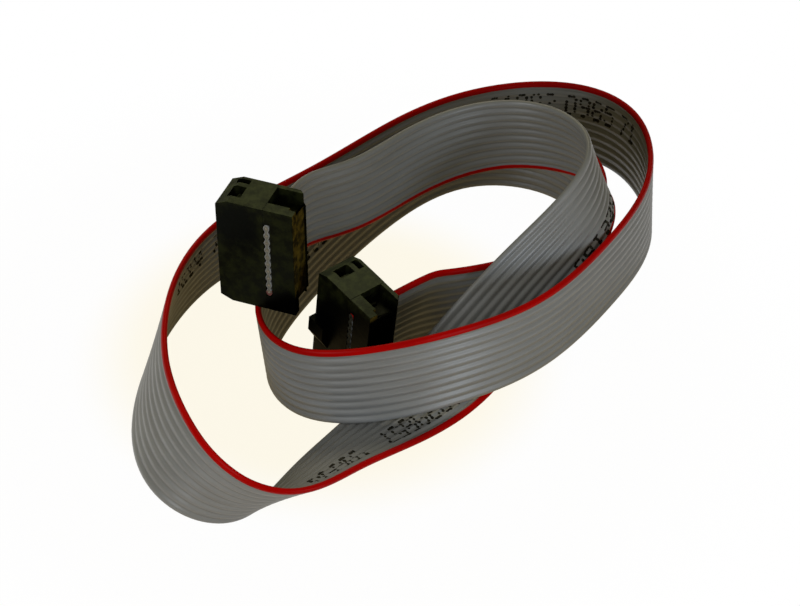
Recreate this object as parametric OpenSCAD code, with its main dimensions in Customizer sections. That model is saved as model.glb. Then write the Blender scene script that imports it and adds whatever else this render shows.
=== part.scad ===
// Flat ribbon cable: ten grey cores side by side, one edge core marked red, with a two-row
// insulation-displacement socket crimped on each end. It stands on its edge in a loose coil.
// Millimetres, +Z up, origin on the table under the middle of the coil.

/* [Ribbon] */
// Number of cores, an even number because the sockets have two rows
core_count = 10; // [8:2:14]
// Distance between neighbouring cores
core_pitch = 1.27; // [1.2:0.01:1.6]
// Thickness of the ribbon over a core
ribbon_t = 0.9; // [0.7:0.05:1.1]
// Width across the strands of one conductor
conductor_d = 0.38; // [0.3:0.01:0.5]

/* [Socket] */
// Thickness of a socket, measured along the ribbon that passes through it
socket_t = 6.1; // [5.6:0.1:8]
// Height of the housing, from the ribbon's middle to the mating face
housing_h = 7.6; // [7:0.1:10]
// Height of the cover, from the ribbon's middle to its back face
cover_h = 4; // [3:0.1:5]
// Length of a socket's end block, past the edge of the ribbon
end_block = 2.6; // [2.2:0.05:4]
// Distance between the two rows of contacts
row_pitch = 2.54; // [2.2:0.01:3]
// Bevel along the housing's end, measured on the end face
bevel_h = 1.8; // [1:0.1:2.5]
// Bevel along the housing's end, measured on the mating face
bevel_l = 0.8; // [0.5:0.1:1.6]
// Length of the polarising key's full height
key_l = 2.6; // [2:0.1:4]
// Length of the key's tapered end
key_taper = 2.2; // [1:0.1:3]
// Height of the key, measured from the mating face
key_h = 3.2; // [2:0.1:4]
// How far the polarising key stands out
key_out = 1.2; // [0.5:0.1:1.5]

/* [Contact] */
// Thickness of the contact's sheet metal
blade_t = 0.3; // [0.2:0.05:0.4]
// Width across the two tines of a contact's fork
fork_w = 1.7; // [1.4:0.05:1.8]
// Side of the square pin that the contact takes
pin_w = 0.64; // [0.5:0.02:0.7]

/* [Cover and latches] */
// Width of the cover's rim on the side where the ribbon is cut
near_rim = 1.8; // [1:0.1:2]
// Width of the cover's rim on the side where the ribbon leaves
far_rim = 0.7; // [0.5:0.1:1.2]
// Width of the slope along the back's far edge
far_slope = 1.2; // [0.5:0.1:1.5]
// Thickness of the cover's back wall, behind the pockets at its ends
back_wall = 0.5; // [0.4:0.05:0.8]
// Depth of a pocket, from the cover's end
pocket_depth = 2.1; // [1.2:0.1:2.1]
// How far the back wall stops short of the cover's end
back_step = 1.5; // [0.8:0.1:1.6]
// Depth of the channel along the cover's back
channel_depth = 0.4; // [0.2:0.05:0.6]
// Thickness of a latch arm
arm_t = 0.8; // [0.6:0.05:1]
// Width of a latch arm
arm_w = 1.6; // [1:0.1:1.8]
// Length of a latch window, along the socket's height
window_h = 2; // [1.6:0.1:2.4]

/* [Hidden] */
// Clearance of a contact or a latch in the plastic around it
fit_gap = 0.05;
// Overlap of a cut past the face that it opens
cut = 0.5;
// Smoothness of round shapes
$fn = 48;

ribbon_w = core_count * core_pitch;
socket_l = ribbon_w + 2 * end_block;
contact_pitch = 2 * core_pitch;
pin_rows = core_count / 2;

// The sockets stand on end. Each is given by the middle of the ribbon's cut end, the heading of
// the ribbon away from it, how far its top leans towards the cover, and which way the red edge is.
lap = ribbon_w;
lap_gap = 0.1;
lean_b = 7.5;
socket_a = [-19, -11.3, lap + socket_l / 2 + lap_gap, 69.5, 0];
socket_b = [-7.85, -15.05, socket_l / 2 * cos(lean_b) + cover_h * sin(lean_b), 39.5, lean_b];

// The ribbon's way from socket a to socket b: x, y, height of the lower edge, and lean. A lean of 0
// stands the ribbon upright with its red edge up, 90 lays it flat and 180 turns the red edge down.
route = [
    [-6.5, 6.5, lap, 183], [2, 17, lap - 0.5, 187], [13, 23.5, lap - 0.5, 183],
    [23.5, 21, lap + 0.5, 175], [30.5, 13, lap + 1.5, 157], [27.5, 4.5, 10.5, 160],
    [17, -3, 4, 155], [8, -12.5, -1, 113], [-3, -24, -0.7, 78], [-10.5, -33.5, 0.5, 63],
    [-16.5, -42, 0, 48], [-24, -44, 0.5, 7], [-31.5, -39, 4.5, -38], [-36.5, -23, 1, -27],
    [-35.5, -4.5, 0, -11], [-29, 11, 0, -5], [-13.5, 22, 0, 0], [-0.5, 36, 0, 3],
    [12.5, 43.5, 0, 8], [28, 45, 0, 14], [38, 37, 0, 7], [39.5, 19.5, 0, -7],
    [31.5, 5, 0.3, -5], [21, -10, 0.5, -5], [8.5, -19.5, 3, -8], [-4.5, -24, 3, -10],
    [-16.5, -21.5, 0.5, 1], [-22.5, -9.5, 0, 7], [-14.5, 7.5, 0, 8], [-3, 24.5, 0, 5],
    [10, 36.5, 0, 1], [27, 32.5, 0, 4], [32.5, 17, 0, 9], [21, 2, 0, 8], [5.5, -3, 0.5, 2]
];
// Spacing of the three route points in line that keep the ribbon straight through a socket
straight = 0.4;
lead = socket_t + straight;

function heading(socket) = [cos(socket[3]), sin(socket[3]), 0];
function lead_point(socket, k, lean) =
    concat([socket[0], socket[1], socket[2]] + k * lead * heading(socket), [lean]);
function middle_height(low, lean) =
    low + ribbon_w / 2 * abs(cos(lean)) + ribbon_t / 2 * abs(sin(lean));

controls = concat(
    [for (k = [0:2]) lead_point(socket_a, k, 180)],
    [for (p = route) [p[0], p[1], middle_height(p[2], p[3]), p[3]]],
    [for (k = [2:-1:0]) lead_point(socket_b, k, lean_b)]
);
last = len(controls) - 1;
spline = concat(
    [2 * controls[0] - controls[1]], controls, [2 * controls[last] - controls[last - 1]]
);

// Uniform cubic B-spline through the sockets' ends, and its slope
function blend(p, u) = (pow(1 - u, 3) * p[0] + (3 * pow(u, 3) - 6 * u * u + 4) * p[1]
    + (-3 * pow(u, 3) + 3 * u * u + 3 * u + 1) * p[2] + pow(u, 3) * p[3]) / 6;
function slope(p, u) = (-pow(1 - u, 2) * p[0] + (3 * u * u - 4 * u) * p[1]
    + (-3 * u * u + 2 * u + 1) * p[2] + u * u * p[3]) / 2;
function xyz(v) = [v[0], v[1], v[2]];
function unit(v) = v / norm(v);

// A ring is the ribbon's middle, its direction across towards the red edge, and its face normal
function ring(p, u) =
    let (
        at = blend(p, u),
        along = unit(xyz(slope(p, u))),
        left = unit(cross([0, 0, 1], along)),
        up = cross(along, left),
        across = cos(at[3]) * up + sin(at[3]) * left
    )
    [xyz(at), across, cross(across, along)];

// Two rings to a span, and one at each end where the ribbon is straight
stations = concat([0], [for (s = [1:0.5:last - 1]) s], [last]);
rings = [
    for (s = stations)
        let (i = min(floor(s), last - 1))
        ring([for (k = [0:3]) spline[i + k]], s - i)
];
ring_count = len(rings);

// Outline of the ribbon's section: the upper face, the red edge, the lower face, the grey edge
edge_round = 0.25;
function boundary(j) =
    j == 0 ? -ribbon_w / 2 + edge_round
    : j == core_count ? ribbon_w / 2 - edge_round
    : (j - core_count / 2) * core_pitch;
outline = concat(
    [for (j = [0:core_count]) [boundary(j), ribbon_t / 2]], [[ribbon_w / 2, 0]],
    [for (j = [core_count:-1:0]) [boundary(j), -ribbon_t / 2]], [[-ribbon_w / 2, 0]]
);
function core_middle(i) = (i - (core_count - 1) / 2) * core_pitch;
// A conductor's section, standing on its corner, is also the section of its tunnel
wire_r = conductor_d / 2;
function wire(i) = let (m = core_middle(i)) [[m, wire_r], [m + wire_r, 0], [m, -wire_r], [m - wire_r, 0]];

function place(p, r) = r[0] + p[0] * r[1] + p[1] * r[2];
function swept(section) = [for (r = rings) for (p = section) place(p, r)];
// Side faces of one loop of n points that starts at first in a ring of stride points
function sides(first, n, stride, outside) = [
    for (j = [0:ring_count - 2])
        for (i = [0:n - 1])
            let (
                a = j * stride + first + i,
                b = j * stride + first + (i + 1) % n,
                quad = outside ? [a, b, b + stride, a + stride] : [b, a, a + stride, b + stride]
            )
            for (tri = outside ? [[0, 1, 2], [0, 2, 3]] : [[0, 1, 3], [1, 2, 3]])
                [quad[tri[2]], quad[tri[1]], quad[tri[0]]]
];
function flipped(faces) = [for (f = faces) [f[2], f[1], f[0]]];
function shifted(faces, n) = [for (f = faces) [f[0] + n, f[1] + n, f[2] + n]];

// The cut end of one core, between its corners of the outline and the four of its tunnel
function core_end(i) =
    let (
        tl = i, tr = i + 1, br = 2 * core_count + 1 - i, bl = br + 1,
        t = len(outline) + 4 * i, r = t + 1, b = t + 2, l = t + 3
    )
    [[tl, t, l], [tl, tr, t], [tr, r, t], [tr, br, r], [br, b, r], [br, bl, b], [bl, l, b], [bl, tl, l]];

module ribbon_insulation() {
    n = len(outline);
    stride = n + 4 * core_count;
    end_face = concat(
        [for (i = [0:core_count - 1]) each core_end(i)],
        [[core_count, core_count + 1, core_count + 2], [n - 2, n - 1, 0]]
    );
    color("slategray")
        polyhedron(
            points = swept(concat(outline, [for (i = [0:core_count - 1]) each wire(i)])),
            faces = concat(
                sides(0, n, stride, true),
                [for (i = [0:core_count - 1]) each sides(n + 4 * i, 4, stride, false)],
                end_face,
                flipped(shifted(end_face, (ring_count - 1) * stride))
            )
        );
}

module conductor(i) {
    end_face = [[0, 1, 2], [0, 2, 3]];
    color("peru")
        polyhedron(
            points = swept(wire(i)),
            faces = concat(
                sides(0, 4, 4, true), end_face, flipped(shifted(end_face, (ring_count - 1) * 4))
            )
        );
}

// In a socket's own frame X runs along the ribbon from its cut end, Y points to the mating face
// and Z runs along the socket. The ribbon's middle plane is Y = 0.
module at_socket(socket) {
    translate([socket[0], socket[1], socket[2]])
        rotate([socket[4], 0, socket[3]])
            children();
}

// The contacts stand in two rows, a row to every other core
function row_x(i) = socket_t / 2 + (i % 2 == 0 ? -1 : 1) * row_pitch / 2;
function pin_z(i) = (floor(i / 2) - (pin_rows - 1) / 2) * contact_pitch;

// The housing meets the cover in the plane of the ribbon's upper face
joint_y = ribbon_t / 2;
// How far a fork's tips pass the ribbon into the cover
tip_depth = 0.7;
tip_y = -joint_y - tip_depth;
// Length of a tip's inner slope, of its outer one, and the point's share of the tine's width
inner_slope = 0.5;
outer_slope = 0.4;
point_share = 0.6;
// The fork's slot, its web, the bar across to the pin's line and the spring beams, one on another
slot_w = conductor_d;
slot_over = 0.3;
web_h = 0.4;
bar_h = 0.5;
fork_root = joint_y + slot_over;
bar_y = fork_root + web_h;
cavity_y = bar_y + bar_h;
beam_x = 0.6;
beam_t = 0.25;
// Room around the beams, thickness of the mating wall over them, and the beams' clearance to it
cavity_x = 1.5;
cavity_z = 1.7;
mouth_wall = 0.9;
beam_gap = 0.2;
mouth_floor = housing_h - mouth_wall;
beam_end = mouth_floor - beam_gap;
// Pin's opening, and the square funnel that leads into it
pin_gap = 0.13;
mouth_w = pin_w + 2 * pin_gap;
funnel_rim = 0.2;
funnel_w = mouth_w + 2 * funnel_rim;
funnel_h = 0.3;

module contact(i) {
    z = core_middle(i);
    tine = (fork_w - slot_w) / 2;
    color("gold")
        translate([row_x(i), 0, 0]) {
            // Fork: two pointed tines joined above the ribbon
            for (side = [-1, 1])
                translate([-blade_t / 2, 0, z])
                    rotate([90, 0, 90])
                        linear_extrude(blade_t)
                            polygon([
                                [fork_root, side * slot_w / 2],
                                [tip_y + inner_slope, side * slot_w / 2],
                                [tip_y, side * (slot_w / 2 + tine * point_share)],
                                [tip_y + outer_slope, side * fork_w / 2],
                                [fork_root, side * fork_w / 2]
                            ]);
            // Web over the conductor, and the bar across to the pin's line
            translate([-blade_t / 2, fork_root, z - fork_w / 2])
                cube([blade_t, bar_y - fork_root, fork_w]);
            bar_low = min(z - fork_w / 2, pin_z(i) - pin_w / 2 - beam_t);
            bar_high = max(z + fork_w / 2, pin_z(i) + pin_w / 2 + beam_t);
            translate([-blade_t / 2, bar_y, bar_low])
                cube([blade_t, cavity_y - bar_y, bar_high - bar_low]);
            // Two spring beams, one on each side of the pin
            for (side = [-1, 1])
                translate([-beam_x / 2, cavity_y, pin_z(i) + side * (pin_w + beam_t) / 2 - beam_t / 2])
                    cube([beam_x, beam_end - cavity_y, beam_t]);
        }
}

// Room for one contact: the fork's passage, the bar's, the spring beams' and the pin's mouth
module contact_room(i) {
    z = core_middle(i);
    low = min(z - fork_w / 2, pin_z(i) - cavity_z / 2) - fit_gap;
    high = max(z + fork_w / 2, pin_z(i) + cavity_z / 2) + fit_gap;
    passage = blade_t + 2 * fit_gap;
    translate([row_x(i), 0, 0]) {
        translate([-passage / 2, -cut, z - fork_w / 2 - fit_gap])
            cube([passage, bar_y + cut, fork_w + 2 * fit_gap]);
        translate([-passage / 2, bar_y - fit_gap, low])
            cube([passage, cavity_y - bar_y + 2 * fit_gap, high - low]);
        translate([-cavity_x / 2, cavity_y, pin_z(i) - cavity_z / 2])
            cube([cavity_x, mouth_floor - cavity_y, cavity_z]);
        translate([-mouth_w / 2, mouth_floor - cut, pin_z(i) - mouth_w / 2])
            cube([mouth_w, mouth_wall + 2 * cut, mouth_w]);
        translate([-funnel_w / 2, housing_h - funnel_h, pin_z(i) - funnel_w / 2])
            cube([funnel_w, funnel_h + cut, funnel_w]);
    }
}

// The latch arms run from the cover along the housing's end blocks to the windows. They stand
// between the two rows, clear of the outermost forks.
half = socket_l / 2;
arm_z = ribbon_w / 2 + fit_gap;
arm_x = (socket_t - arm_w) / 2;
window_skin = 1.2;
window_y = housing_h - window_skin - window_h;
window_near = 1.5;
// A second, shallow window beside the latch's, past a bar
bar_w = 0.8;
small_window_w = 0.9;
small_window_depth = 1.2;
hook_h = 1.2;
hook_out = 0.45;
channel_t = arm_t + hook_out + 2 * fit_gap;

// A block given by its low corner, mirrored to the socket's other end where side is -1
module at_end(side, x, y, z, size) {
    mirror([0, 0, side > 0 ? 0 : 1])
        translate([x, y, z])
            cube(size);
}

module latch_arm(side) {
    root = -joint_y - cut;
    hook_y = window_y + fit_gap;
    at_end(side, arm_x, root, arm_z, [arm_w, hook_y + hook_h - root, arm_t]);
    at_end(side, arm_x, hook_y, arm_z, [arm_w, hook_h, arm_t + hook_out]);
}

// Key beside the mating face on the side at X = 0, tapered towards -Z
module key() {
    rotate([-90, 0, 0])
        translate([0, 0, housing_h - key_h])
            linear_extrude(key_h)
                polygon([
                    [cut, 0], [-key_out, 0], [-key_out, key_l], [0, key_l + key_taper],
                    [cut, key_l + key_taper]
                ]);
}

// The key lies on the grey edge's half of the socket, so turned moves it to the other side and end
module housing(turned) {
    color("#17180f")
        difference() {
            union() {
                // Body with bevelled ends towards the mating face
                rotate([90, 0, 90])
                    linear_extrude(socket_t)
                        polygon([
                            [joint_y, -half], [housing_h - bevel_h, -half],
                            [housing_h, -half + bevel_l], [housing_h, half - bevel_l],
                            [housing_h - bevel_h, half], [joint_y, half]
                        ]);
                translate([turned ? socket_t : 0, 0, 0])
                    rotate([0, turned ? 180 : 0, 0])
                        key();
            }
            for (i = [0:core_count - 1])
                contact_room(i);
            for (side = [-1, 1]) {
                // Channel of the latch arm, and the window that its hook reaches
                at_end(side, arm_x - fit_gap, joint_y - cut, arm_z - fit_gap,
                    [arm_w + 2 * fit_gap, window_y - joint_y + 2 * cut, channel_t]);
                at_end(side, window_near, window_y, arm_z - fit_gap,
                    [arm_x + arm_w + fit_gap - window_near, window_h, half - arm_z + cut]);
                at_end(side, arm_x + arm_w + fit_gap + bar_w, window_y, half - small_window_depth,
                    [small_window_w, window_h, small_window_depth + cut]);
            }
        }
}

// The channel undercuts the near rim's back
channel_under = 0.5;
channel_x = near_rim - channel_under;

module cover() {
    color("#201d12") {
        difference() {
            translate([0, 0, -half])
                linear_extrude(socket_l)
                    polygon([
                        [0, -cover_h], [socket_t - far_slope, -cover_h],
                        [socket_t, -cover_h + far_slope], [socket_t, joint_y], [0, joint_y]
                    ]);
            // Seat of the ribbon
            translate([-cut, -joint_y, -ribbon_w / 2 - fit_gap])
                cube([socket_t + 2 * cut, ribbon_t + cut, ribbon_w + 2 * fit_gap]);
            // Pockets for the tips of the forks
            for (i = [0:core_count - 1])
                translate([
                    row_x(i) - blade_t / 2 - fit_gap, tip_y - fit_gap,
                    core_middle(i) - fork_w / 2 - fit_gap
                ])
                    cube([blade_t + 2 * fit_gap, cut - tip_y, fork_w + 2 * fit_gap]);
            for (side = [-1, 1]) {
                // Pocket in the end, and the step of the back wall behind it
                at_end(side, near_rim, -cover_h + back_wall, half - pocket_depth,
                    [socket_t - near_rim - far_rim, cover_h - back_wall + joint_y + cut, pocket_depth + cut]);
                at_end(side, channel_x, -cover_h - cut, half - back_step,
                    [socket_t - channel_x - far_rim, back_wall + 2 * cut, back_step + cut]);
            }
            // Shallow channel along the back
            translate([channel_x, -cover_h - cut, -half - cut])
                cube([socket_t - channel_x - far_slope, cut + channel_depth, socket_l + 2 * cut]);
        }
        latch_arm(-1);
        latch_arm(1);
    }
}

function numbered(name) = [for (i = [1:core_count]) str(name, i)];

ribbon_insulation();
for (i = [1:core_count])
    conductor(i - 1);
at_socket(socket_a) housing(true);  // housing_a
at_socket(socket_a) cover();  // cover_a
for (i = [1:core_count])
    at_socket(socket_a) contact(i - 1);
at_socket(socket_b) housing(false);  // housing_b
at_socket(socket_b) cover();  // cover_b
for (i = [1:core_count])
    at_socket(socket_b) contact(i - 1);
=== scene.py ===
import math
import random
from bisect import bisect_right

import bmesh
import bpy
from mathutils import Matrix, Vector


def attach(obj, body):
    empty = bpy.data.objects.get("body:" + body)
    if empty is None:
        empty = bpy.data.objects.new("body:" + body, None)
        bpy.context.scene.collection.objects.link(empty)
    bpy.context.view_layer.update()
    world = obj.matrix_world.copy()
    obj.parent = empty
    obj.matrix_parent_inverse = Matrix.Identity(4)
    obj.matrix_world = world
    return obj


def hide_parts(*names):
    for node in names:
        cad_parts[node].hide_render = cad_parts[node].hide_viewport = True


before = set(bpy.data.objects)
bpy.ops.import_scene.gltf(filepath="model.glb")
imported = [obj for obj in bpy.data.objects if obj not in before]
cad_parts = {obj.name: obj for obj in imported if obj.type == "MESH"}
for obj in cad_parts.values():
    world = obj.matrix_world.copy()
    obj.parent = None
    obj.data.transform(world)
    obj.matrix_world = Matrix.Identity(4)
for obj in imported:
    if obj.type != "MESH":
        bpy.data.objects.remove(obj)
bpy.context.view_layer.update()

# ---------------------------------------------------------------------------------------------
# The camera: it looks down at the coil from the side of the low socket, through a long lens.
# ---------------------------------------------------------------------------------------------
CAMERA_AWAY = 0.3449
CAMERA_DOWN = math.radians(40.7)
lens = bpy.data.cameras.new("camera")
lens.lens = 102.5
lens.sensor_width = 36
lens.clip_start = 0.01
camera = bpy.data.objects.new("camera", lens)
looked_at = Vector((-0.0005, 0.005, 0))
towards_camera = Vector((0, -math.cos(CAMERA_DOWN), math.sin(CAMERA_DOWN)))
camera.location = looked_at + CAMERA_AWAY * towards_camera
camera.rotation_euler = (looked_at - camera.location).to_track_quat("-Z", "Y").to_euler()
bpy.context.scene.collection.objects.link(camera)
bpy.context.scene.camera = camera
bpy.context.scene.view_settings.view_transform = "Standard"

# ---------------------------------------------------------------------------------------------
# The ribbon: ten round PVC cores extruded side by side, 1.27 mm apart, and welded along thin
# webs. It was stored folded, so it stands on its edge in a loose coil of two laps.
# ---------------------------------------------------------------------------------------------
MM = 0.001
CORE_COUNT = 10
CORE_PITCH = 1.27 * MM
RIBBON_W = CORE_COUNT * CORE_PITCH
# Half the thickness over a core, and over the web between two
CORE_R = 0.45 * MM
WEB_R = 0.22 * MM
# Where across the ribbon the red mark starts
RED_FROM = RIBBON_W / 2 - 0.85 * MM
# The sockets' sizes set where the ribbon's two ends are: thickness, length, and cover behind
SOCKET_T = 6.1 * MM
SOCKET_END = 2.6 * MM
SOCKET_L = RIBBON_W + 2 * SOCKET_END
COVER_H = 4 * MM
# The ribbon leaves a socket straight, in steps of this length
LEAD = SOCKET_T + 0.4 * MM
# The upper lap stands on the lower one's edge, and so does the first socket
LAP = RIBBON_W
SOCKET_GAP = 0.1 * MM
# The second socket leans towards its cover, with the cover's low corner on the table
LEAN_B = 7.5
LOW_B = (
    SOCKET_L / 2 * math.cos(math.radians(LEAN_B)) + COVER_H * math.sin(math.radians(LEAN_B))
)
# Each socket: the middle of the ribbon's cut end, and the ribbon's heading away from it
SOCKETS = {
    "a": (Vector((-0.019, -0.0113, LAP + SOCKET_L / 2 + SOCKET_GAP)), 69.5),
    "b": (Vector((-0.00785, -0.01505, LOW_B)), 39.5),
}
# The ribbon's way between them: x, y, height of its lower edge, and lean in degrees
ROUTE = [
    (-0.0065, 0.0065, LAP, 183), (0.002, 0.017, LAP - 0.0005, 187),
    (0.013, 0.0235, LAP - 0.0005, 183), (0.0235, 0.021, LAP + 0.0005, 175),
    (0.0305, 0.013, LAP + 0.0015, 157), (0.0275, 0.0045, 0.0105, 160),
    (0.017, -0.003, 0.004, 155), (0.008, -0.0125, -0.001, 113), (-0.003, -0.024, -0.0007, 78),
    (-0.0105, -0.0335, 0.0005, 63), (-0.0165, -0.042, 0, 48), (-0.024, -0.044, 0.0005, 7),
    (-0.0315, -0.039, 0.0045, -38), (-0.0365, -0.023, 0.001, -27), (-0.0355, -0.0045, 0, -11),
    (-0.029, 0.011, 0, -5), (-0.0135, 0.022, 0, 0), (-0.0005, 0.036, 0, 3),
    (0.0125, 0.0435, 0, 8), (0.028, 0.045, 0, 14), (0.038, 0.037, 0, 7), (0.0395, 0.0195, 0, -7),
    (0.0315, 0.005, 0.0003, -5), (0.021, -0.01, 0.0005, -5), (0.0085, -0.0195, 0.003, -8),
    (-0.0045, -0.024, 0.003, -10), (-0.0165, -0.0215, 0.0005, 1), (-0.0225, -0.0095, 0, 7),
    (-0.0145, 0.0075, 0, 8), (-0.003, 0.0245, 0, 5), (0.01, 0.0365, 0, 1), (0.027, 0.0325, 0, 4),
    (0.0325, 0.017, 0, 9), (0.021, 0.002, 0, 8), (0.0055, -0.003, 0.0005, 2),
]
STATIONS_PER_SPAN = 11
# Under 1 makes the ribs full and the grooves between them narrow
RIB_FULLNESS = 0.8


def heading(name):
    turn = math.radians(SOCKETS[name][1])
    return Vector((math.cos(turn), math.sin(turn), 0))


def lead_points(name, lean):
    return [(*(SOCKETS[name][0] + k * LEAD * heading(name)), lean) for k in range(3)]


def route_point(x, y, low, lean):
    turn = math.radians(lean)
    return (x, y, low + RIBBON_W / 2 * abs(math.cos(turn)) + CORE_R * abs(math.sin(turn)), lean)


controls = [Vector(p) for p in (
    lead_points("a", 180) + [route_point(*p) for p in ROUTE] + lead_points("b", LEAN_B)[::-1]
)]
span_count = len(controls) - 1
spline = [2 * controls[0] - controls[1], *controls, 2 * controls[-1] - controls[-2]]


def ribbon_frame(station):
    """The ribbon's middle, its direction towards the red edge, and its plain face's normal.
    The middle runs on a cubic B-spline, whose fourth coordinate is the lean."""
    i = min(int(station), span_count - 1)
    u = station - i
    p = spline[i:i + 4]
    at = (
        (1 - u) ** 3 * p[0] + (3 * u ** 3 - 6 * u * u + 4) * p[1]
        + (-3 * u ** 3 + 3 * u * u + 3 * u + 1) * p[2] + u ** 3 * p[3]
    ) / 6
    slope = (
        -(1 - u) ** 2 * p[0] + (3 * u * u - 4 * u) * p[1]
        + (-3 * u * u + 2 * u + 1) * p[2] + u * u * p[3]
    ).xyz.normalized()
    left = Vector((-slope.y, slope.x, 0)).normalized()
    lean = math.radians(at.w)
    across = math.cos(lean) * slope.cross(left) + math.sin(lean) * left
    return at.xyz, across, across.cross(slope)


frames = [ribbon_frame(k / STATIONS_PER_SPAN) for k in range(span_count * STATIONS_PER_SPAN + 1)]
travelled = [0.0]
for before, after in zip(frames, frames[1:]):
    travelled.append(travelled[-1] + (after[0] - before[0]).length)
ribbon_length = travelled[-1]
first_core = -(CORE_COUNT - 1) / 2 * CORE_PITCH


def half_thickness(a):
    """Half the ribbon's thickness at the place a across it: a rib over each core, a web between."""
    core = min(max(round((a - first_core) / CORE_PITCH), 0), CORE_COUNT - 1)
    off = (a - first_core - core * CORE_PITCH) / CORE_PITCH
    if abs(a) > RIBBON_W / 2 - CORE_PITCH / 2:
        return CORE_R * math.sqrt(max(0.0, 1 - 4 * off * off))
    fullness = (0.5 + 0.5 * math.cos(2 * math.pi * off)) ** RIB_FULLNESS
    return WEB_R + (CORE_R - WEB_R) * fullness


def frame_at(station):
    """The ribbon's middle, direction and normal at a place that may lie between two stations."""
    low = min(int(station), len(frames) - 2)
    return [p.lerp(q, station - low) for p, q in zip(frames[low], frames[low + 1])]


def on_ribbon(station, a, side, lift=0.0):
    """A point of the ribbon's skin at the place a across it, or a little above the skin."""
    mid, across, normal = frame_at(station)
    return mid + a * across + side * (half_thickness(a) + lift) * normal


# Places across the ribbon that its section passes, from the grey edge to the red one
RIB_STEPS = (0, 0.14, 0.28, 0.4, 0.5, 0.6, 0.72, 0.86)
EDGE_ANGLES = (90, 72, 52, 32, 15)
edge_places = [first_core - CORE_PITCH / 2 * math.sin(math.radians(t)) for t in EDGE_ANGLES]
rib_places = [
    first_core + (i + step) * CORE_PITCH for i in range(CORE_COUNT - 1) for step in RIB_STEPS
]
face_places = edge_places + rib_places + [-first_core] + [-a for a in reversed(edge_places)]
# The section's outline runs over the plain face and back over the printed one
outline = [(a, 1) for a in face_places] + [(a, -1) for a in reversed(face_places[1:-1])]


def new_piece(name, bm, *materials, smooth=True):
    """A finished bmesh as an object at the origin, with its materials."""
    mesh = bpy.data.meshes.new(name)
    bm.to_mesh(mesh)
    bm.free()
    piece = bpy.data.objects.new(name, mesh)
    bpy.context.scene.collection.objects.link(piece)
    for material in materials:
        mesh.materials.append(material)
    mesh.polygons.foreach_set("use_smooth", [smooth] * len(mesh.polygons))
    return piece


def colour(hex_code):
    """An sRGB hex colour as the linear values that a shader socket holds."""
    channels = [int(hex_code[i:i + 2], 16) / 255 for i in (1, 3, 5)]
    return (*(c / 12.92 if c <= 0.04045 else ((c + 0.055) / 1.055) ** 2.4 for c in channels), 1)


def new_material(name):
    material = bpy.data.materials.new(name)
    material.use_nodes = True
    return material, material.node_tree.nodes["Principled BSDF"]


def feed(material, node, inputs):
    """Gives a node its inputs, each a value or another node's output. An input goes by its name,
    or by its number, as in i0, where several have the same name."""
    for key, value in inputs.items():
        socket = node.inputs[int(key[1:]) if key[1:].isdigit() else key.replace("_", " ")]
        if isinstance(value, bpy.types.NodeSocket):
            material.node_tree.links.new(value, socket)
        else:
            socket.default_value = value


def add(material, kind, settings=None, **inputs):
    """Adds a node with its settings and inputs, and gives back its outputs."""
    node = material.node_tree.nodes.new("ShaderNode" + kind)
    for key, value in (settings or {}).items():
        setattr(node, key, value)
    feed(material, node, inputs)
    return node.outputs


# Settings that many nodes have: a Mix of two colours, and a MapRange with soft ends
COLOURS = {"data_type": "RGBA"}
SOFT = {"interpolation_type": "SMOOTHSTEP"}


# Extruded plasticised PVC: a satin skin, drawn lengthways, with painted shade darkening the
# grooves. The red mark covers the outer 0.85 mm of the edge core.
def extruded_pvc(name, specular):
    pvc, shader = new_material(name)
    place = add(pvc, "UVMap", {"uv_map": "ribbon"})[0]
    across = add(pvc, "SeparateXYZ", i0=place)["Y"]
    cores = add(pvc, "Math", {"operation": "DIVIDE"}, i0=across, i1=CORE_PITCH)[0]
    from_groove = add(pvc, "Math", {"operation": "PINGPONG"}, i0=cores, i1=0.5)[0]
    groove = add(pvc, "MapRange", SOFT, Value=from_groove, From_Min=0.2, From_Max=0.0)[0]
    # Streaks 8 mm long and 1.1 mm wide, where the die drew the skin out
    drawn = add(pvc, "VectorMath", {"operation": "MULTIPLY"}, i0=place, i1=(120, 900, 1))[0]
    streaks = add(pvc, "TexNoise", Vector=drawn, Scale=1.0, Detail=3.0)[0]
    mottle = add(pvc, "MapRange", Value=streaks, From_Min=0.35, From_Max=0.7)[0]
    skin = add(pvc, "Mix", COLOURS, i0=mottle, i6=colour("#818485"), i7=colour("#797B7B"))[2]
    # Painted shade: the grooves between the ribs are darkened a quarter of the way to a darker grey
    groove_shade = add(pvc, "Math", {"operation": "MULTIPLY"}, i0=groove, i1=0.25)[0]
    grey = add(pvc, "Mix", COLOURS, i0=groove_shade, i6=skin, i7=colour("#5A5C57"))[2]
    # The mark's border wanders by a tenth of a millimetre, in waves 4 mm long
    wander = add(pvc, "TexNoise", Vector=place, Scale=1 / (4 * MM))[0]
    border = add(
        pvc, "Math", {"operation": "MULTIPLY_ADD"}, i0=wander, i1=0.15 * MM, i2=across)[0]
    marked = add(
        pvc, "MapRange", SOFT, Value=border, From_Min=RED_FROM, From_Max=RED_FROM + 0.12 * MM)[0]
    red = add(pvc, "Mix", COLOURS, i0=mottle, i6=colour("#B00000"), i7=colour("#A00200"))[2]
    tone = add(pvc, "Mix", COLOURS, i0=marked, i6=grey, i7=red)[2]
    # Grain of the skin, drawn a quarter of a millimetre across, coarser than it is, so it shows
    spots = add(pvc, "TexCoord")["Object"]
    grain = add(pvc, "TexNoise", Vector=spots, Scale=1 / (0.25 * MM))[0]
    bump = add(pvc, "Bump", Height=grain, Strength=0.08, Distance=0.05 * MM)[0]
    rough = add(pvc, "MapRange", Value=streaks, To_Min=0.34, To_Max=0.46)[0]
    feed(pvc, shader, {
        "Base Color": tone, "Roughness": rough, "IOR": 1.53, "Specular IOR Level": specular,
        "Normal": bump,
    })
    return pvc


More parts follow.
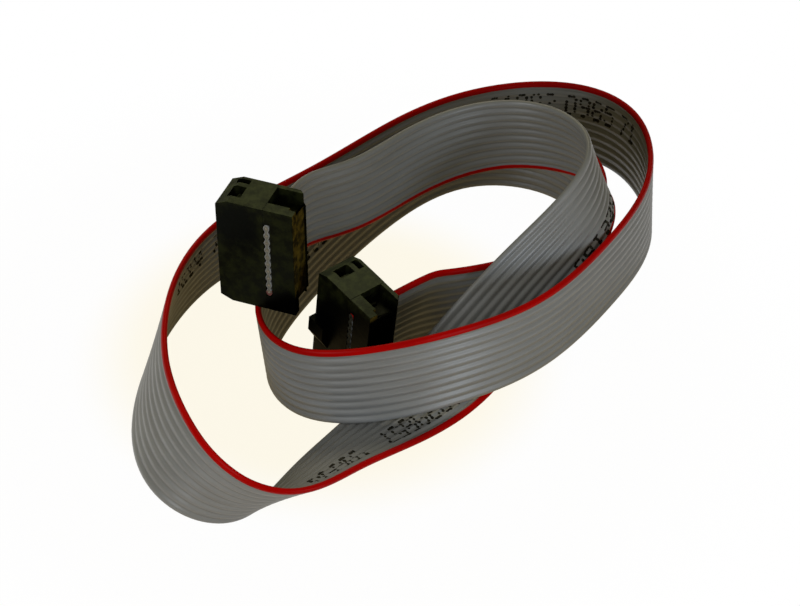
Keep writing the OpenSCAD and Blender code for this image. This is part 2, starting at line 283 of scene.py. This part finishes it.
def shade_at_second_cut(material):
    """0 at the first socket's cut end, and 1 at the second's, where painted shade darkens the cut
    nearly to black, as it lies in shadow.
    """
    spots = add(material, "TexCoord")["Object"]
    along_table = add(material, "SeparateXYZ", i0=spots)["X"]
    return add(
        material, "MapRange", Value=along_table, From_Min=-15 * MM, From_Max=-11 * MM)[0]


# Plasticised PVC where a blade cut it through: torn, dull and handled, with the red of the edge
# core blurred into it, and painted shade at the second socket that darkens that cut nearly to black
def cut_pvc():
    pvc, shader = new_material("cut_pvc")
    place = add(pvc, "UVMap", {"uv_map": "ribbon"})[0]
    across = add(pvc, "SeparateXYZ", i0=place)["Y"]
    marked = add(
        pvc, "MapRange", Value=across,
        From_Min=RIBBON_W / 2 - 1.1 * MM, From_Max=RIBBON_W / 2 - 0.5 * MM)[0]
    spots = add(pvc, "TexCoord")["Object"]
    torn = add(pvc, "TexNoise", Vector=spots, Scale=1 / (0.3 * MM))[0]
    pale = add(pvc, "Mix", COLOURS, i0=torn, i6=colour("#7B7C74"), i7=colour("#64665C"))[2]
    tone = add(pvc, "Mix", COLOURS, i0=marked, i6=pale, i7=colour("#6F4743"))[2]
    # Painted shade: the second socket's cut end is darkened nearly to black, as it lies in shadow
    tone = add(pvc, "Mix", COLOURS, i0=shade_at_second_cut(pvc), i6=tone, i7=colour("#2C2C24"))[2]
    feed(pvc, shader, {
        "Base Color": tone, "Roughness": 0.75, "IOR": 1.53, "Specular IOR Level": 0.15,
    })
    return pvc


around, along = len(outline), len(frames) - 1
SKIN, CUT, RED_SKIN = 0, 1, 2
CUT_RIM = 0.1 * MM
bm = bmesh.new()
# A flat grid, rolled up into the section and laid along the route
bmesh.ops.create_grid(bm, x_segments=around, y_segments=along, size=0.5)
uv = bm.loops.layers.uv.new("ribbon")
cells = {v: (round((v.co.x + 0.5) * around), round((v.co.y + 0.5) * along)) for v in bm.verts}
for face in bm.faces:
    for loop in face.loops:
        i, k = cells[loop.vert]
        loop[uv].uv = (travelled[k], outline[i % around][0])
for v, (i, k) in cells.items():
    v.co = on_ribbon(k, *outline[i % around])
bmesh.ops.remove_doubles(bm, verts=bm.verts, dist=1e-7)
caps = bmesh.ops.holes_fill(bm, edges=[e for e in bm.edges if e.is_boundary], sides=0)["faces"]
for face in caps:
    face.material_index = CUT
    for loop in face.loops:
        side = next(near for near in loop.vert.link_loops if near.face.material_index == SKIN)
        loop[uv].uv = side[uv].uv
# The blade drew the skin a little way over the cut; at the second socket the rim keeps the cut's
# material, so its painted shade hides that
rim = bmesh.ops.inset_region(bm, faces=caps, thickness=CUT_RIM)["faces"]
for face in rim:
    corners = [loop[uv].uv for loop in face.loops]
    grey = max(corner.y for corner in corners) < RED_FROM
    if grey and max(corner.x for corner in corners) < ribbon_length / 2:
        face.material_index = SKIN
bmesh.ops.triangulate(bm, faces=[f for f in bm.faces if f.material_index == CUT])
bmesh.ops.recalc_face_normals(bm, faces=bm.faces)
for edge in bm.edges:
    edge.smooth = not any(f.material_index for f in edge.link_faces)
for face in bm.faces:
    if face.material_index == SKIN and max(loop[uv].uv.y for loop in face.loops) > RED_FROM:
        face.material_index = RED_SKIN
ribbon = new_piece(
    "ribbon", bm, extruded_pvc("extruded_grey_pvc", 0.5), cut_pvc(),
    extruded_pvc("red_marked_pvc", 0.05),
)
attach(ribbon, "root")
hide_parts("ribbon_insulation")

# ---------------------------------------------------------------------------------------------
# The print: dot-matrix figures that an ink jet left on one face, beside the red edge, as the
# ribbon ran past it. They are plain numbers, in drops of ink 0.5 mm wide, a few of them missed.
# ---------------------------------------------------------------------------------------------
# Each figure's seven rows of five places, from its top: 1 is a drop
FIGURES = {
    "0": "01110 10001 10001 10001 10001 10001 01110",
    "1": "00100 01100 00100 00100 00100 00100 01110",
    "2": "01110 10001 00001 00110 01000 10000 11111",
    "3": "01110 10001 00001 00110 00001 10001 01110",
    "4": "00010 00110 01010 10010 11111 00010 00010",
    "5": "11111 10000 11110 00001 00001 10001 01110",
    "6": "01110 10000 10000 11110 10001 10001 01110",
    "7": "11111 00001 00010 00100 00100 01000 01000",
    "8": "01110 10001 10001 01110 10001 10001 01110",
    "9": "01110 10001 10001 01111 00001 00001 01110",
}
FIGURE_ROWS = 7
DROP_R = 0.25 * MM
DROP_ALONG = 0.36 * MM
FIGURE_PITCH = 2.25 * MM
# How far a drop strays in millimetres, how its size varies, and the share of them that miss
DROP_STRAY = 0.04
DROP_SIZES = (0.8, 1.15)
MISSED = 0.06
# The ink stands on the skin, thinner at a drop's rim, where it is drawn in
INK_RIM = 0.005 * MM
INK_MIDDLE = 0.014 * MM
# Each run of figures: how far along the ribbon it starts, where its top is, how tall it is
# (its drops crowd together where the ribbon ran slack), and its figures
RUNS = (
    (0.0702, 5.4, 1.7, "026180"), (0.1096, 4.2, 3.1, "3029857"), (0.1292, 4.2, 3.1, "10650"),
    (0.1980, 4.2, 3.1, "8204 713"), (0.2650, 4.2, 3.1, "61802"), (0.2774, 4.2, 3.1, "0985"),
    (0.2876, 4.2, 3.1, "71"), (0.3360, 4.2, 3.1, "06509 820"), (0.4060, 4.2, 3.1, "4713026"),
    (0.4620, 4.2, 3.1, "180302985"), (0.4950, 4.2, 3.1, "10650"),
)
jet = random.Random(7)


def station_at(distance):
    k = min(max(bisect_right(travelled, distance) - 1, 0), len(travelled) - 2)
    return k + (distance - travelled[k]) / (travelled[k + 1] - travelled[k])


def ink_drop(bm, distance, a):
    """One round drop of ink, bent over the rib that it fell on."""
    distance += jet.uniform(-DROP_STRAY, DROP_STRAY) * MM
    a += jet.uniform(-DROP_STRAY, DROP_STRAY) * MM
    radius = DROP_R * jet.uniform(*DROP_SIZES)
    # A square grid, drawn into a disc
    for v in bmesh.ops.create_grid(bm, x_segments=4, y_segments=4, size=1)["verts"]:
        x = radius * v.co.x * math.sqrt(1 - v.co.y ** 2 / 2)
        y = radius * v.co.y * math.sqrt(1 - v.co.x ** 2 / 2)
        lift = INK_RIM if max(abs(v.co.x), abs(v.co.y)) > 0.9 else INK_MIDDLE
        v.co = on_ribbon(station_at(distance + x), a + y, -1, lift)


# Solvent ink that dried on the PVC: matt and nearly black, thinner and greyer in patches
def jet_ink():
    ink, shader = new_material("dried_jet_ink")
    spots = add(ink, "TexCoord")["Object"]
    thin = add(ink, "TexNoise", Vector=spots, Scale=1 / (0.7 * MM))[0]
    shade = add(ink, "MapRange", Value=thin, From_Min=0.4, From_Max=0.65)[0]
    tone = add(ink, "Mix", COLOURS, i0=shade, i6=colour("#12110C"), i7=colour("#34332B"))[2]
    feed(ink, shader, {
        "Base Color": tone, "Roughness": 0.7, "IOR": 1.5, "Specular IOR Level": 0.1,
    })
    return ink


bm = bmesh.new()
for start, top, height, run in RUNS:
    for i, figure in enumerate(run):
        for row, drops in enumerate(FIGURES.get(figure, "").split()):
            for column, drop in enumerate(drops):
                if drop == "1" and jet.random() > MISSED:
                    distance = start + i * FIGURE_PITCH + column * DROP_ALONG
                    ink_drop(bm, distance, (top - row / (FIGURE_ROWS - 1) * height) * MM)
bmesh.ops.recalc_face_normals(bm, faces=bm.faces)
printed = new_piece("printed_figures", bm, jet_ink())
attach(printed, "root")

# ---------------------------------------------------------------------------------------------
# The conductors: in each core seven tinned copper strands, twisted together. They are sealed in
# the PVC and show only where the ribbon is cut off, flush with a socket's side.
# ---------------------------------------------------------------------------------------------
STRAND_COUNT = 7
STRAND_R = 0.0635 * MM
STRAND_PROUD = 0.02 * MM
STRAND_DEPTH = 0.6 * MM
# The strands are drawn a shade thinner than they lie apart, and each core's turned from the last
STRAND_DRAWN = 0.96
STRAND_TURN = 17
# Within the PVC the seven strands are drawn as one bar, which no one sees
BAR_SIDES = 8
BAR_R = 2.6 * STRAND_R
BAR_STATIONS = range(0, along + 1, 4)


# Tinned copper, sheared and then handled: a dull metal, brown where copper shows in the tin, with
# painted shade darkening the strands at the second socket
def tinned_copper():
    copper, shader = new_material("tinned_copper_strand")
    spots = add(copper, "TexCoord")["Object"]
    sheared = add(copper, "TexNoise", Vector=spots, Scale=1 / (0.08 * MM))[0]
    tone = add(copper, "Mix", COLOURS, i0=sheared, i6=colour("#8A7B67"), i7=colour("#948E81"))[2]
    # Painted shade: the second socket's strands are darkened nearly to black, as they lie in shadow
    tone = add(copper, "Mix", COLOURS, i0=shade_at_second_cut(copper), i6=tone, i7=colour("#2E2A24"))[2]
    feed(copper, shader, {"Base Color": tone, "Metallic": 1.0, "Roughness": 0.38})
    return copper


def along_core(station, a, height, beyond):
    """A point beside a core's axis, some way past the given station along the ribbon."""
    mid, across, normal = frame_at(station)
    return mid + a * across + height * normal + beyond * normal.cross(across)


bm = bmesh.new()
for core in range(CORE_COUNT):
    axis = first_core + core * CORE_PITCH
    steps = len(BAR_STATIONS) - 1
    bar = bmesh.ops.create_grid(bm, x_segments=BAR_SIDES, y_segments=steps, size=0.5)["verts"]
    for v in bar:
        turn = 2 * math.pi * (v.co.x + 0.5)
        station = BAR_STATIONS[round((v.co.y + 0.5) * steps)]
        v.co = along_core(station, axis + BAR_R * math.cos(turn), BAR_R * math.sin(turn), 0)
    bmesh.ops.remove_doubles(bm, verts=bar, dist=1e-7)
bmesh.ops.holes_fill(bm, edges=[e for e in bm.edges if e.is_boundary], sides=0)
# At each cut the seven strands show, sheared off a hair proud of the PVC
for station, way in ((0, -1), (along, 1)):
    for core in range(CORE_COUNT):
        for strand in range(STRAND_COUNT):
            made = bmesh.ops.create_cone(
                bm, cap_ends=True, cap_tris=True, segments=8, depth=2,
                radius1=STRAND_DRAWN * STRAND_R, radius2=STRAND_DRAWN * STRAND_R,
            )["verts"]
            # One strand in the middle and six around it
            off = Vector((0, 0)) if strand == 0 else Vector((2 * STRAND_R, 0))
            off.rotate(Matrix.Rotation(math.radians(60 * strand + STRAND_TURN * core), 2))
            for v in made:
                a = first_core + core * CORE_PITCH + off.x + v.co.x
                beyond = way * (STRAND_PROUD if v.co.z > 0 else -STRAND_DEPTH)
                v.co = along_core(station, a, off.y + v.co.y, beyond)
bmesh.ops.recalc_face_normals(bm, faces=bm.faces)
conductors = new_piece("conductors", bm, tinned_copper(), smooth=False)
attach(conductors, "root")
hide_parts(*(f"conductor_{n + 1}" for n in range(CORE_COUNT)))

# ---------------------------------------------------------------------------------------------
# The sockets: each is a housing with two rows of five ways and a cover pressed on from behind,
# both moulded in glass-filled black PBT. The cover clamps the ribbon onto the contacts.
# ---------------------------------------------------------------------------------------------
EDGE_ROUND = 0.08 * MM
# Middle of each patch of painted shade on the sockets, in millimetres, and its reach
SHADE_PATCHES = (
    (-24.5, -12.8, 26.8, 5.0), (-17.2, -13.5, 13.5, 4.0), (-9.5, -16.5, 6.5, 10.0),
    (-4.0, -17.0, 11.0, 6.8),
)
SHADE_PATCH_FADE = 2.2
# How far below a socket's top a face may lie and still get the painted sheen
SHEEN_REACH = 1.4 * MM


# Glass-filled PBT from a mould: black with an olive cast and hardly any gloss, with clouds where
# the melt flowed and faint sinks over the ways
def moulded_pbt(name, dark, cloud_colour, specular):
    pbt, shader = new_material(name)
    spots = add(pbt, "TexCoord")["Object"]
    flow = add(
        pbt, "TexNoise", Vector=spots, Scale=1 / (1.6 * MM), Detail=4.0, Roughness=0.6)[0]
    cloud = add(pbt, "MapRange", Value=flow, From_Min=0.42, From_Max=0.62)[0]
    black = add(pbt, "Mix", COLOURS, i0=cloud, i6=colour(dark), i7=colour(cloud_colour))[2]
    # Painted shade: patches of the sockets' sides that lie in shadow, darkened to a deep black,
    # their borders uneven
    for x, y, z, reach in SHADE_PATCHES:
        middle = (x * MM, y * MM, z * MM)
        off = add(pbt, "VectorMath", {"operation": "DISTANCE"}, i0=spots, i1=middle)["Value"]
        off = add(pbt, "Math", {"operation": "MULTIPLY_ADD"}, i0=flow, i1=2 * MM, i2=off)[0]
        unshaded = add(
            pbt, "MapRange", SOFT, Value=off,
            From_Min=reach * MM, From_Max=(reach + SHADE_PATCH_FADE) * MM)[0]
        black = add(pbt, "Mix", COLOURS, i0=unshaded, i6=colour("#020202"), i7=black)[2]
    rough = add(
        pbt, "MapRange", Value=flow, From_Min=0.3, From_Max=0.7, To_Min=0.28, To_Max=0.45)[0]
    sinks = add(pbt, "TexNoise", Vector=spots, Scale=1 / (1.1 * MM), Detail=2.0)[0]
    bump = add(pbt, "Bump", Height=sinks, Strength=0.25, Distance=0.06 * MM)[0]
    feed(pbt, shader, {
        "Base Color": black, "Roughness": rough, "IOR": 1.55, "Specular IOR Level": specular,
        "Specular Tint": colour("#AEBE80"), "Normal": bump,
    })
    return pbt


def moulding(node, piece_name, *materials):
    """The shape of a CAD node with its triangles joined into faces and its edges rounded."""
    bm = bmesh.new()
    bm.from_mesh(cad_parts[node].data)
    bmesh.ops.remove_doubles(bm, verts=bm.verts, dist=0.001 * MM)
    bmesh.ops.dissolve_limit(bm, angle_limit=math.radians(1), verts=bm.verts, edges=bm.edges)
    sharp = [e for e in bm.edges if e.calc_face_angle(0) > math.radians(30)]
    bmesh.ops.bevel(
        bm, geom=sharp, offset=EDGE_ROUND, offset_type="OFFSET", segments=2, profile=0.5,
        affect="EDGES", clamp_overlap=True, material=-1,
    )
    piece = new_piece(piece_name, bm, *materials, smooth=False)
    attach(piece, "root")
    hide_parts(node)
    return piece


black_pbt = moulded_pbt("moulded_black_pbt", "#0C0D06", "#1B1E0D", 0.04)
# The back of a cover: painted light, a browner and lighter black for the warm light that falls on
# it, and duller
warm_back_pbt = moulded_pbt("painted_warm_back_pbt", "#262110", "#5A4C1C", 0.0)
# The topmost faces as the sockets lie: a painted sheen, an olive black lighter than the rest, for
# the lamp light they catch
sheen_top_pbt = moulded_pbt("painted_sheen_top_pbt", "#2F3426", "#424831", 0.04)
WARM_LIT_BACK, SHEEN_TOP = 1, 2
# The cosine between a face's normal and a direction that it counts as facing
FACING = 0.9
for end in "ab":
    back = heading(end).cross(Vector((0, 0, 1)))
    for part in ("housing", "cover"):
        piece = moulding(
            f"{part}_{end}", f"moulded_{part}_{end}", black_pbt, warm_back_pbt, sheen_top_pbt)
        top = max(corner[2] for corner in piece.bound_box)
        for face in piece.data.polygons:
            # Painted light: each cover's back faces get the warm painted light
            if part == "cover" and face.normal.dot(back) > FACING:
                face.material_index = WARM_LIT_BACK
            # Painted sheen: a socket's topmost upward faces are drawn a lighter olive
            elif face.normal.z > FACING and face.center.z > top - SHEEN_REACH:
                face.material_index = SHEEN_TOP

# ---------------------------------------------------------------------------------------------
# The contacts: one for each core, stamped from phosphor bronze and plated. A fork at its back
# cuts into the core, and two springs in the housing take a header pin.
# ---------------------------------------------------------------------------------------------
# Phosphor bronze strip, rolled and then plated with tin: pale and satin, a little yellow where
# the plating is thin
def plated_bronze():
    plated, shader = new_material("tin_plated_phosphor_bronze")
    spots = add(plated, "TexCoord")["Object"]
    rolled = add(plated, "TexNoise", Vector=spots, Scale=1 / (0.2 * MM), Detail=3.0)[0]
    tone = add(plated, "Mix", COLOURS, i0=rolled, i6=colour("#B3AFA3"), i7=colour("#C9C3B2"))[2]
    rough = add(plated, "MapRange", Value=rolled, To_Min=0.25, To_Max=0.42)[0]
    feed(plated, shader, {"Base Color": tone, "Metallic": 1.0, "Roughness": rough})
    return plated


contact_metal = plated_bronze()
for name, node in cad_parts.items():
    if name.startswith("contact_"):
        node.material_slots[0].material = contact_metal

# ---------------------------------------------------------------------------------------------
# The table and the light: a white sheet with painted warm shade near the coil, under a small lamp
# at the left front, a smaller one low at the right, a broad one high behind, and a dim warm room.
# ---------------------------------------------------------------------------------------------
# The radii on the sheet, in millimetres, over which its painted warm shade near the coil, the
# coil's painted shade in gloss, and the cast shadows fade out
PAINTED_WARM_SHADE = (24, 38)
SHADED = (34, 46)
SHADOWS = (45, 80)


# Matt white paper: the eye and the gloss see it white, with the coil's shadows faint on it and
# painted warm shade near the coil, and the coil gets warm light back from it
def white_sheet():
    sheet, shader = new_material("white_matt_sheet")
    spots = add(sheet, "TexCoord")["Object"]
    rays = add(sheet, "LightPath")
    from_coil = add(
        sheet, "VectorMath", {"operation": "DISTANCE"}, i0=spots, i1=(-12 * MM, -5 * MM, 0)
    )["Value"]
    # Painted shade: a cream tint that the eye sees on the sheet near the coil
    outside_warm_shade = add(
        sheet, "MapRange", SOFT, Value=from_coil, From_Min=PAINTED_WARM_SHADE[0] * MM, From_Max=PAINTED_WARM_SHADE[1] * MM)[0]
    tint = add(sheet, "Mix", COLOURS, i0=outside_warm_shade, i6=colour("#FEF9EA"), i7=colour("#FFFFFF"))[2]
    # Painted shadow: gloss sees the sheet within the coil dimmer and warmer, as the ribbon's shadow
    # would leave it
    inside = add(
        sheet, "VectorMath", {"operation": "DISTANCE"}, i0=spots, i1=(-2 * MM, 10 * MM, 0)
    )["Value"]
    shade = add(
        sheet, "MapRange", SOFT, Value=inside, From_Min=SHADED[0] * MM, From_Max=SHADED[1] * MM)[0]
    shaded = add(sheet, "Mix", COLOURS, i0=shade, i6=colour("#BCA878"), i7=colour("#FFFFFF"))[2]
    tint = add(sheet, "Mix", COLOURS, i0=rays["Is Glossy Ray"], i6=tint, i7=shaded)[2]
    glow = add(sheet, "Emission", Color=tint, Strength=1.0)[0]
    seen = add(
        sheet, "Math", {"operation": "ADD"}, i0=rays["Is Camera Ray"], i1=rays["Is Glossy Ray"])[0]
    seen = add(
        sheet, "Math", {"operation": "ADD", "use_clamp": True},
        i0=seen, i1=rays["Is Transmission Ray"])[0]
    share = add(
        sheet, "MapRange", SOFT, Value=from_coil,
        From_Min=SHADOWS[0] * MM, From_Max=SHADOWS[1] * MM, To_Min=0.985, To_Max=1.0)[0]
    share = add(sheet, "Math", {"operation": "MULTIPLY"}, i0=seen, i1=share)[0]
    surface = add(sheet, "MixShader", i0=share, i1=shader.outputs[0], i2=glow)[0]
    feed(sheet, sheet.node_tree.nodes["Material Output"], {"Surface": surface})
    feed(sheet, shader, {
        "Base Color": colour("#D0B070"), "Roughness": 0.9, "Specular IOR Level": 0.0,
    })
    return sheet


FLOOR_HALF = 1.5
bm = bmesh.new()
bmesh.ops.create_grid(bm, x_segments=1, y_segments=1, size=FLOOR_HALF)
floor = new_piece("floor", bm, white_sheet())

world = bpy.data.worlds.new("studio")
bpy.context.scene.world = world
world.use_nodes = True
feed(world, world.node_tree.nodes["Background"], {"Color": colour("#FFEDB4"), "Strength": 0.17})


def soft_lamp(name, size, place, watts, tint):
    """A round lamp that faces the middle of the table."""
    lamp = bpy.data.lights.new(name, "AREA")
    lamp.shape = "DISK"
    lamp.size = size
    lamp.energy = watts
    lamp.color = colour(tint)[:3]
    holder = bpy.data.objects.new(name, lamp)
    holder.location = place
    holder.rotation_euler = (-Vector(place)).to_track_quat("-Z", "Y").to_euler()
    bpy.context.scene.collection.objects.link(holder)


soft_lamp("left_lamp", 0.08, (-0.085, -0.13, 0.1), 0.112, "#F6F9FF")
soft_lamp("right_lamp", 0.04, (0.08, -0.075, 0.02), 0.032, "#E8F2FF")
soft_lamp("back_lamp", 0.3, (0, 0.43, 0.61), 1.2, "#FFF3D2")
